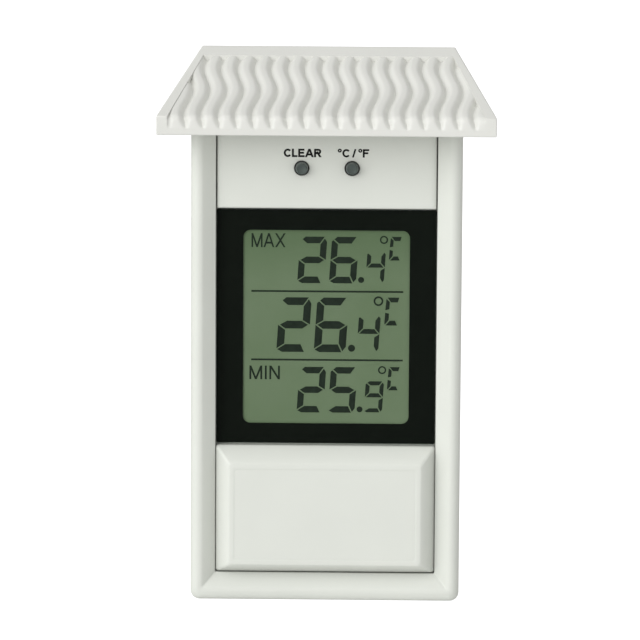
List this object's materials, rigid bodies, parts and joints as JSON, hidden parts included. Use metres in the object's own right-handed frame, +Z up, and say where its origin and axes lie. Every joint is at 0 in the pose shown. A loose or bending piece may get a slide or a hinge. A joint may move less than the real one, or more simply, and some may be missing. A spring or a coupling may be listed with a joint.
{
  "type": "maximum minimum thermometer",
  "caption": "Digital maximum minimum thermometer: flat upright case with raised side rails, tiled roof, display window, round keys and a hinged battery door at the back.",
  "frame": {"origin": "on the level the case stands on, under the middle of the whole object's width and depth", "axes": "+Z up along the case, +X to the right seen from the front, +Y to the back; the display faces -Y"},
  "size_m": [0.08, 0.032, 0.132],
  "materials": {
    "case_plastic": "off-white moulded ABS, fine satin",
    "roof_plastic": "off-white moulded ABS, satin",
    "lens_acrylic": "clear polished acrylic",
    "lens_print": "black ink printed behind the lens",
    "display_film": "grey-green polarizing film",
    "display_glass": "liquid crystal glass",
    "reflector_film": "silvered reflector film",
    "inner_plastic": "plain moulded ABS",
    "key_rubber": "grey silicone rubber",
    "mat_rubber": "grey silicone rubber",
    "carbon_pill": "conductive carbon rubber",
    "board_laminate": "green solder mask over glass laminate",
    "black_epoxy": "cast black epoxy",
    "component_body": "small black components",
    "bright_steel": "nickel plated",
    "cell_jacket": null,
    "red_jacket": "PVC insulation",
    "black_jacket": "PVC insulation"
  },
  "bodies": {
    "housing": {"front_frame": "case_plastic", "key_plate": "case_plastic", "lower_panel": "case_plastic", "rear_cover": "case_plastic", "roof_canopy": "roof_plastic", "display_lens": "lens_acrylic", "lens_mask": "lens_print", "lcd_front_polarizer": "display_film", "lcd_glass": "display_glass", "lcd_rear_reflector": "reflector_film", "lcd_holder": "inner_plastic", "zebra_strip_upper": "mat_rubber", "zebra_strip_lower": "mat_rubber", "key_mat": "mat_rubber", "clear_key_skirt": "mat_rubber", "unit_key_skirt": "mat_rubber", "main_board": "board_laminate", "chip_cap": "black_epoxy", "air_sensor": "black_epoxy", "buffer_capacitor": "component_body", "chip_resistor_1": "component_body", "chip_resistor_2": "component_body", "chip_resistor_3": "component_body", "clock_crystal": "bright_steel", "battery_cell": "cell_jacket", "positive_contact": "bright_steel", "negative_contact": "bright_steel", "battery_spring": "bright_steel", "red_wire": "red_jacket", "black_wire": "black_jacket", "case_screw_1": "bright_steel", "case_screw_2": "bright_steel", "case_screw_3": "bright_steel", "case_screw_4": "bright_steel", "board_screw_1": "bright_steel", "board_screw_2": "bright_steel", "board_screw_3": "bright_steel", "board_screw_4": "bright_steel", "roof_screw_1": "bright_steel", "roof_screw_2": "bright_steel"},
    "clear_button": {"clear_key": "key_rubber", "clear_key_pill": "carbon_pill"},
    "unit_button": {"unit_key": "key_rubber", "unit_key_pill": "carbon_pill"},
    "door": {"battery_door": "case_plastic"}
  },
  "joints": [
    {"name": "clear_key_press", "type": "slide", "parent": "housing", "child": "clear_button", "axis": [0, 1, 0], "range_m": [0, 0.001], "stiffness_N_per_m": 600, "deforming": ["clear_key_skirt"]},
    {"name": "unit_key_press", "type": "slide", "parent": "housing", "child": "unit_button", "axis": [0, 1, 0], "range_m": [0, 0.001], "stiffness_N_per_m": 600, "deforming": ["unit_key_skirt"]},
    {"name": "battery_door_hinge", "type": "hinge", "parent": "housing", "child": "door", "pos_m": [0, 0.01515, 0.0019], "axis": [-1, 0, 0], "range_deg": [0, 90]}
  ]
}
